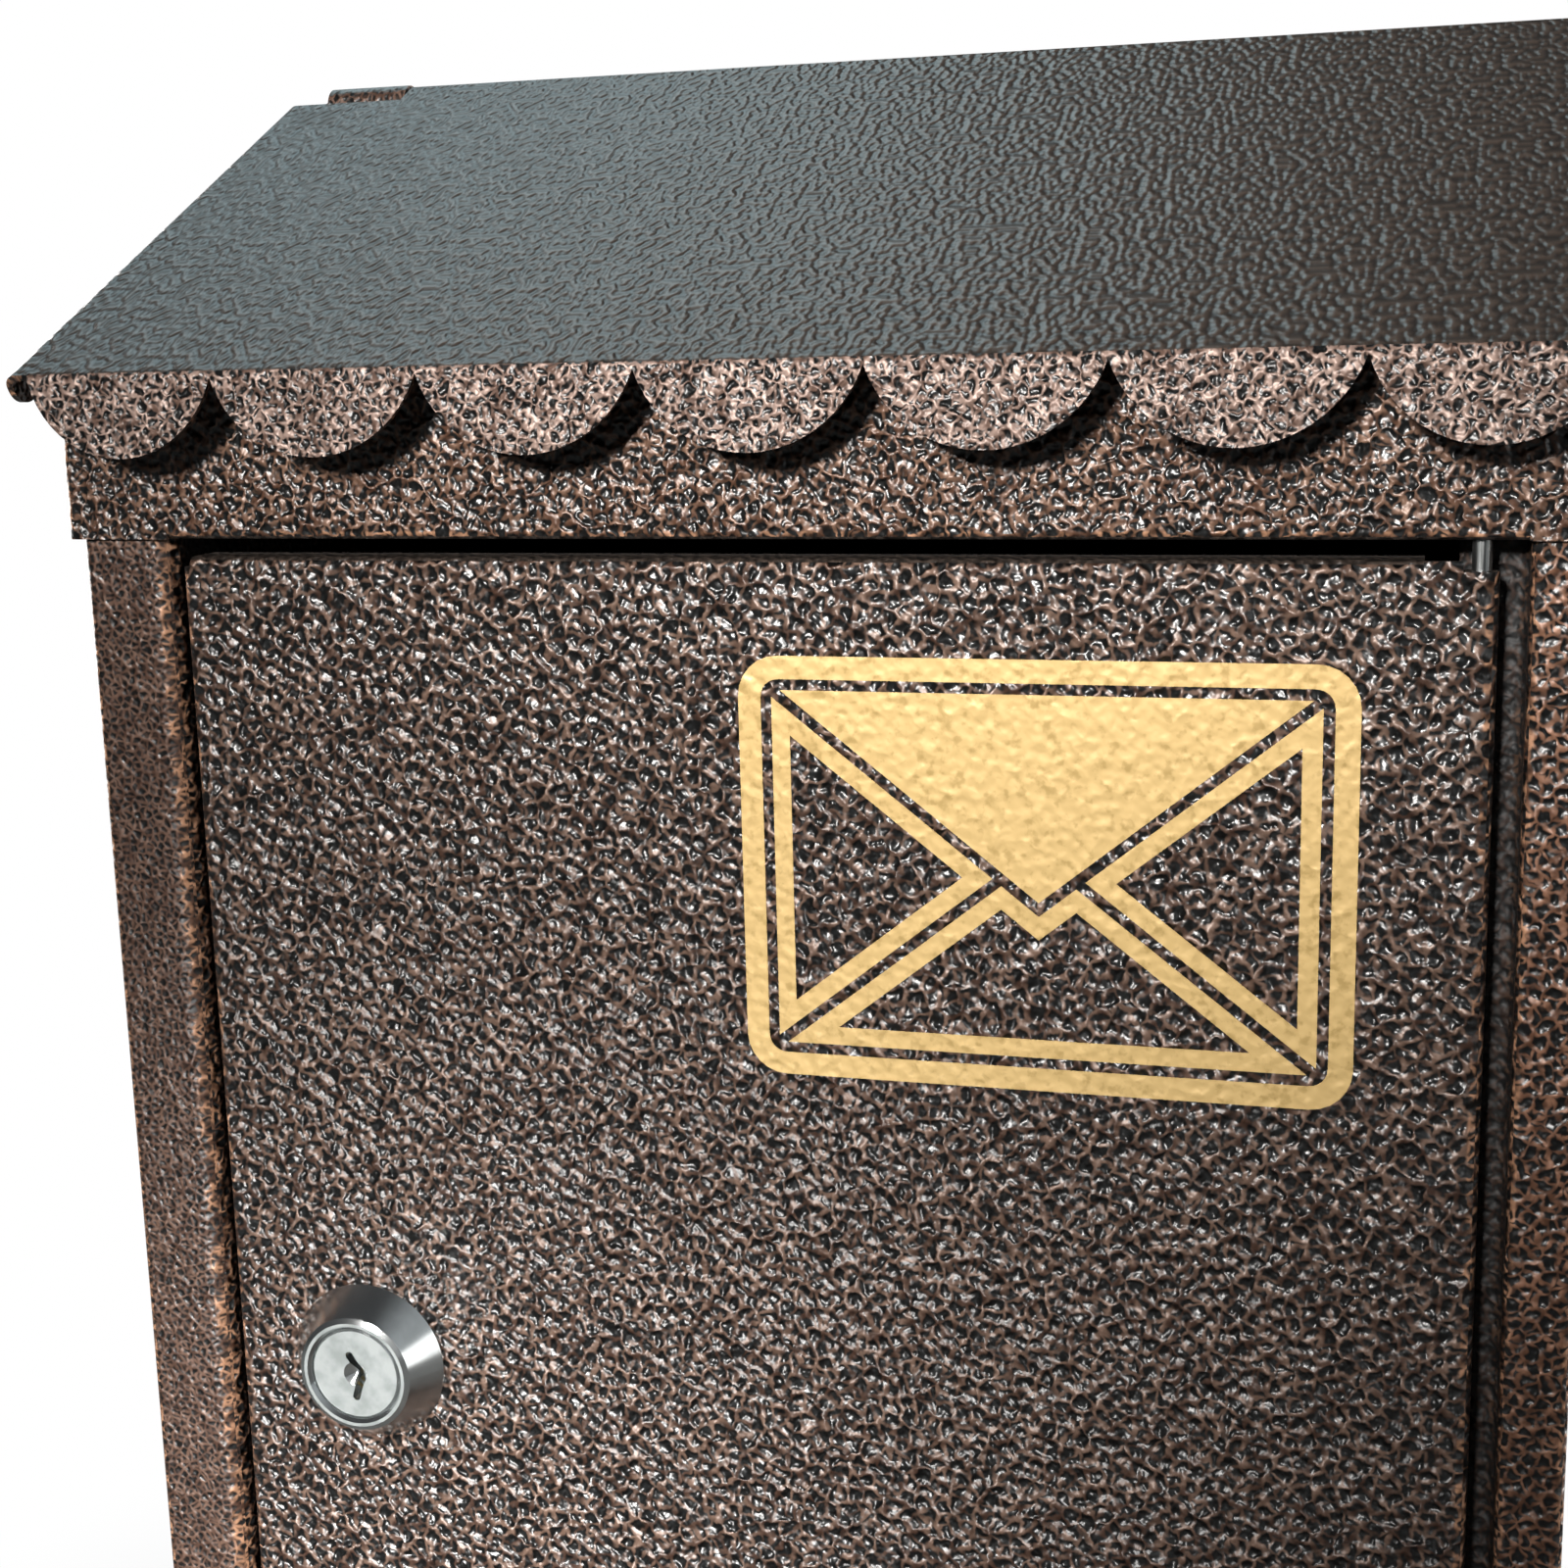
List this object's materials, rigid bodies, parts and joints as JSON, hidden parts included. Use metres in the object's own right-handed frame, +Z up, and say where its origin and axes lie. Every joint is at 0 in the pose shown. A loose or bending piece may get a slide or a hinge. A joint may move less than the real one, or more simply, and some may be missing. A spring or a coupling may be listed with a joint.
{
  "type": "wall mounted mailbox",
  "caption": "Sheet-steel wall mailbox with a sloped lid hinged at the back, a scalloped eave, a hinged front door and a cam lock.",
  "frame": {"origin": "centre of the wall screw pattern, on the wall face of the back panel", "axes": "+X to the right seen from the front, +Y towards the wall, +Z up"},
  "size_m": [0.2352, 0.1058, 0.3531],
  "materials": {
    "hammered_coat": "hammered powder coat, dark brown with copper veins",
    "bare_steel": "bare drawn steel rod",
    "polished_zinc": "polished plated casting",
    "plated_steel": "zinc plated steel",
    "lock_brass": "stamped brass",
    "gold_print": "gold print over the hammered coat"
  },
  "bodies": {
    "box": {"back_panel": "hammered_coat", "left_side": "hammered_coat", "right_side": "hammered_coat", "floor_panel": "hammered_coat", "front_band": "hammered_coat", "lid_hinge_rod": "bare_steel", "door_hinge_rod": "bare_steel"},
    "lid": {"lid": "hammered_coat"},
    "door": {"door": "hammered_coat", "lock_body": "polished_zinc", "lock_nut": "plated_steel"},
    "lock_plug": {"lock_plug": "polished_zinc", "lock_wafer_1": "lock_brass", "lock_wafer_2": "lock_brass", "lock_wafer_3": "lock_brass", "lock_wafer_4": "lock_brass", "lock_wafer_5": "lock_brass", "lock_cam": "plated_steel", "cam_washer": "plated_steel", "cam_screw": "plated_steel"}
  },
  "joints": [
    {"name": "lid_hinge", "type": "hinge", "parent": "box", "child": "lid", "pos_m": [0, -0.0034, 0.17366], "axis": [-1, 0, 0], "range_deg": [0, 110]},
    {"name": "door_hinge", "type": "hinge", "parent": "box", "child": "door", "pos_m": [0.09725, -0.09265, -0.0319], "axis": [0, 0, 1], "range_deg": [0, 120]},
    {"name": "lock_turn", "type": "hinge", "parent": "door", "child": "lock_plug", "pos_m": [-0.0717, -0.095, -0.0319], "axis": [0, 1, 0], "range_deg": [0, 90]}
  ]
}
